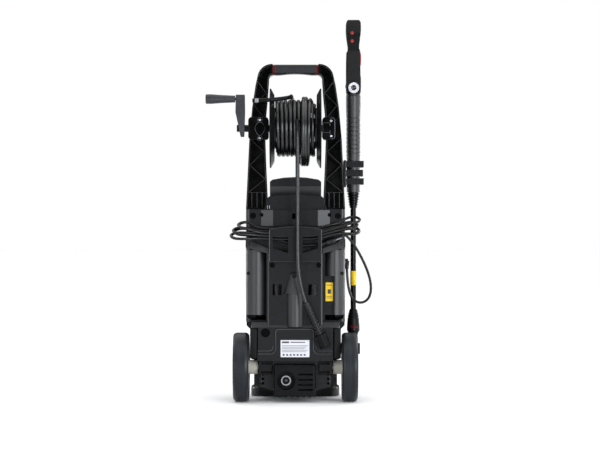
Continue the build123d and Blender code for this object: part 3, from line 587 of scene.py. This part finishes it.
def make_bend_guard():
    """The ribbed guard round the hose where it leaves the outlet boot."""
    start, end = Vector((70, -140, 170)), Vector((27, -150, 268))
    lean = end - start
    ribs, groove = 12, 8.3
    pitch = (lean.length - 10) / ribs
    profile = [(groove, 6)]
    for rib in range(ribs):
        base = 7 + rib * pitch
        size = 11.6 - 2.6 * rib / ribs
        profile += [(groove, base), (size, base + 1.2)]
        profile += [(size, base + pitch * 0.52), (groove, base + pitch * 0.52 + 1.2)]
    profile.append((groove, lean.length - 2))
    guard = turned("hose_bend_guard", profile, start, lean, 32)
    finish_piece(guard, "root", "cord")
    soften(guard, 0.0003)


def make_plug():
    """The plug at the mains cord's end: a ribbed body, a tapered tail and two bright pins."""
    start, end = Vector((80, -112, 424.5)), Vector((126, -112, 438.5))
    lean = (end - start).normalized()
    tail = start - lean * 20
    profile = [(3.9, 0)]
    for rib in range(5):
        wider, base = rib * 0.35, rib * 3.6
        profile += [(4.2 + wider, 1 + base), (5.1 + wider, 1.6 + base)]
        profile += [(5.1 + wider, 3.4 + base), (4.3 + wider, 4 + base)]
    profile += [(6.5, 20), (8.3, 22), (8.5, 26), (7.7, 30), (8.4, 36), (8.5, 44), (7.6, 47.6), (3, 48)]
    body = turned("plug_body", profile, tail, lean, 36)
    finish_piece(body, "root", "cord")
    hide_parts("power_plug")
    mesh = bmesh.new()
    side = Vector((0, 1, 0))
    for sign in (-1, 1):
        base = start + side * (5.5 * sign) + lean * 27
        bmesh.ops.create_cone(mesh, cap_ends=True, segments=20, radius1=0.0022, radius2=0.0021, depth=0.0186,
                              matrix=along(base + lean * 9.2, lean))
    pins = mesh_piece("plug_pins", mesh)
    finish_piece(pins, "root", "dull_steel")
    return body, pins


OUTER_SIDE = [(134, 514.3), (131, 575), (125, 700), (117, 790), (108, 850), (103, 872)]
INNER_SIDE = [(76, 514.3), (76, 550), (80, 640), (82, 700), (80, 765), (75, 820), (72, 864)]


def side_at(points, z):
    """The X of a side line at height z."""
    for (x0, z0), (x1, z1) in zip(points, points[1:]):
        if z0 <= z <= z1:
            return x0 + (x1 - x0) * (z - z0) / (z1 - z0)
    return points[-1][0]


def make_arm_beads():
    """Rounded rims and rib tops in the open back of the two handle arms."""
    levels = [560, 596, 634, 670, 703, 763, 795, 828, 858]
    rim_y, rib_y = -45.2, -43.4
    inset = 2.6
    rims, ribs = [], []
    for sign in (-1, 1):
        for low, high in ((516, 705), (761, 866)):
            rim = []
            steps = 14
            for step in range(steps + 1):
                z = low + (high - low) * step / steps
                rim.append((sign * (side_at(INNER_SIDE, z) + inset), rim_y, z))
            rims.append(rim)
            rims.append([(sign * (side_at(OUTER_SIDE, p[2]) - inset), rim_y, p[2]) for p in rim])
        corner = [(72 + inset, 866), (71.5, 874), (68, 879.5), (62, 881)]
        rims.append([(sign * x, rim_y, z) for x, z in corner])
        top = [(103 - inset, 872), (97, 885), (88, 894.5), (77, 901), (66, 904.2)]
        rims.append([(sign * x, rim_y, z) for x, z in top])
        for step, (low, high) in enumerate(zip(levels, levels[1:])):
            if low == 703:  # the reel's bearing is here
                continue
            first, second = (INNER_SIDE, OUTER_SIDE) if step % 2 else (OUTER_SIDE, INNER_SIDE)
            shift = (5, -5) if step % 2 else (-5, 5)
            ribs.append([(sign * (side_at(first, low) + shift[0]), rib_y, low),
                         (sign * (side_at(second, high) + shift[1]), rib_y, high)])
        for x in (90, 104, 118):
            ribs.append([(sign * x, rib_y, 518), (sign * x, rib_y, 560)])
        ribs.append([(sign * 80, rib_y, 560), (sign * 128, rib_y, 560)])
    bead("arm_rims", rims, 1.2, "root", "rim_black")
    bead("arm_rib_tops", ribs, 1.1, "root", "rim_black")


def make_bearing_details():
    """The outlined bosses at the reel's bearings."""
    face_y = -82.4
    eye = [(-95.5, 747.5), (-101, 746), (-106.5, 739), (-108.5, 731), (-106.5, 723), (-101, 714),
           (-95.5, 711.5), (-90, 714), (-84.5, 723), (-82.5, 731), (-84.5, 739), (-90, 746), (-95.5, 747.5)]
    box = [(91, 746), (73, 746), (73, 720), (91, 720)]
    slot = arc_points(98.5, 753, 6.4, face_y, 0, 180) + arc_points(98.5, 709, 6.4, face_y, 180, 360)
    rings = [arc_points(-95.5, z, 6.3, face_y, 0, 360, 20) for z in (753.5, 705)]
    lines = [[(x, face_y, z) for x, z in eye], slot + slot[:1], [(x, face_y, z) for x, z in box]]
    # the outlines are in a lighter grey than the bosses: painted highlight on their edges
    bead("bearing_outlines", lines + rings, 1.0, "root", "edge_highlight_grey")


def ring_piece(name, profile, start, direction, body, material):
    """A finished ring about a line from start."""
    finish_piece(turned(name, profile, start, direction, 40, looped=True), body, material)


def make_ports():
    """The seals and filter inside the two bright ports, and the steel sleeve at the hose's free end."""
    gun_port, inlet, hose_end = (158, -14, 845), (-25, -132, 59), (-107.6, -153, 801)
    seal = [(5.2, -0.3), (7.0, -0.5), (7.3, 0.2), (5.46, 0.2), (5.46, 14), (5.2, 14)]
    ring_piece("gun_port_seal", seal, gun_port, (0, 1, 0), "gun", "matte_black")
    lip = [(7.6, -0.4), (9.6, -0.5), (9.9, 0.1), (8.74, 0.3), (8.74, 5), (7.6, 5)]
    ring_piece("inlet_seal", lip, inlet, (0, 1, 0), "root", "matte_black")
    dome = [(7.5, 6), (7.5, 4.5), (5.5, 3.2), (5.2, 1.5), (3.2, 0.6), (1.5, 0.4)]
    screen = turned("inlet_filter", dome, inlet, (0, 1, 0), 32)
    finish_piece(screen, "root", "slate_plastic")
    sleeve = [(4.65, 0), (5.5, 0.3), (5.9, 2), (5.9, 8), (5.5, 10.4), (4.65, 10.8)]
    ring_piece("hose_end_ferrule", sleeve, hose_end, (1, 0, 0), "root", "dull_steel")


LEDGE_LOW_Y, LEDGE_HIGH_Y = -122, -101
LEDGE_LOW_Z, LEDGE_HIGH_Z = 388, 440


def ledge_y(z):
    """The y of a line just outside the sloping ledge, at height z."""
    slope = (LEDGE_HIGH_Y - LEDGE_LOW_Y) / (LEDGE_HIGH_Z - LEDGE_LOW_Z)
    return LEDGE_LOW_Y - 0.4 + (z - LEDGE_LOW_Z) * slope


def make_housing_lines():
    """Raised edges of the housing: the stepped outline, the hook's sides, the clips and the neck's studs."""
    middle = -2.5
    outline = [(-101, 129), (-66, 129), (-60, 130.5), (-54.6, 136), (-52.6, 142), (-52.6, 188),
               (-50.5, 192.5), (-46, 194.2), (middle, 194.2)]
    inner = [(-101, 136.5), (-72, 136.5), (-64, 138), (-60, 143), (-59, 150)]
    steps = []
    for line, y in ((outline, -122.7), (inner, -118.2)):
        steps.append([(x, y, z) for x, z in line])
        steps.append([(2 * middle - x, y, z) for x, z in line])
    # these edge beads, and the hook's edges and the clips below, are in a lighter grey than the housing:
    # painted highlight
    bead("step_lines", steps, 1.0, "root", "edge_highlight_grey")
    hook_x, hook_low, hook_high = 69, 376, 459
    sides = [[(x, -136.6, hook_low), (x, -136.6, hook_high)] for x in (-hook_x, hook_x)]
    bead("hook_edges", sides, 1.0, "root", "edge_highlight_grey")
    clips = []
    for sign in (-1, 1):
        corners = [(117, 413), (117, 429), (127, 431), (127, 415), (117, 413)]
        clips.append([(sign * x, ledge_y(z), z) for x, z in corners])
    bead("ledge_clips", clips, 0.9, "root", "edge_highlight_grey")
    studs = [[(x, -82.6, 515.5), (x, -82.6, 524)] for x in (-75, -70)]
    bead("neck_studs", studs, 1.1, "root", "dull_steel")


make_cords()
dress_nodes()
make_arm_beads()
make_bearing_details()
make_ports()
make_housing_lines()
make_screws()
make_labels()
make_gun_trim()
make_bend_guard()


# ---- floor and light ----
def make_stage():
    """A pale floor and a plain white studio: bright to look at, dim as a light."""
    floor_material = moulded("floor_paper", (0.92, 0.92, 0.92), 0.8, 60, 0.02, spread=0.01)
    bpy.ops.mesh.primitive_plane_add(size=60, location=(0, 0, 0))
    floor = bpy.context.object
    floor.name = "floor"
    floor.data.materials.append(floor_material)
    world = bpy.data.worlds.new("studio")
    world.use_nodes = True
    tree = world.node_tree
    seen = tree.nodes["Background"]
    seen.inputs["Color"].default_value = (1, 1, 1, 1)
    seen.inputs["Strength"].default_value = 1.0
    dim = node(tree, "ShaderNodeBackground", Color=(1.0, 1.0, 1.0, 1))
    place = node(tree, "ShaderNodeTexCoord")
    axes = node(tree, "ShaderNodeSeparateXYZ")
    rise = node(tree, "ShaderNodeMapRange")
    for socket, value in (("From Min", 0.35), ("From Max", 0.8), ("To Min", 0.05), ("To Max", 1.72)):
        rise.inputs[socket].default_value = value
    tree.links.new(place.outputs["Generated"], axes.inputs["Vector"])
    tree.links.new(axes.outputs["Z"], rise.inputs["Value"])
    tree.links.new(rise.outputs["Result"], dim.inputs["Strength"])
    rays = node(tree, "ShaderNodeLightPath")
    mix = node(tree, "ShaderNodeMixShader")
    tree.links.new(rays.outputs["Is Camera Ray"], mix.inputs["Fac"])
    tree.links.new(dim.outputs["Background"], mix.inputs[1])
    tree.links.new(seen.outputs["Background"], mix.inputs[2])
    tree.links.new(mix.outputs["Shader"], tree.nodes["World Output"].inputs["Surface"])
    bpy.context.scene.world = world
    bpy.context.scene.view_settings.view_transform = "Standard"


LIGHT_TARGET = Vector((0, 0, 0.5))


def softbox(name, place, width, height, power):
    """A cool rectangular light turned towards the machine's middle."""
    data = bpy.data.lights.new(name, "AREA")
    data.shape = "RECTANGLE"
    data.size = width
    data.size_y = height
    data.energy = power
    data.color = (0.90, 0.95, 1.0)
    lamp = linked(name, data)
    lamp.location = place
    lamp.rotation_euler = (LIGHT_TARGET - Vector(place)).to_track_quat("-Z", "Y").to_euler()


make_stage()
softbox("left_box", (-2.9, -6.0, 1.0), 2.2, 3.0, 120)
softbox("right_box", (2.9, -6.0, 1.0), 2.4, 3.0, 330)
softbox("far_left_strip", (-4.2, -1.0, 1.0), 1.6, 3.0, 20)
softbox("far_right_strip", (4.2, -0.5, 1.0), 1.6, 3.0, 60)
softbox("back_box", (4.8, 4.6, 1.0), 1.6, 3.2, 170)
softbox("back_side_box", (-4.8, 4.6, 1.0), 1.6, 3.2, 120)
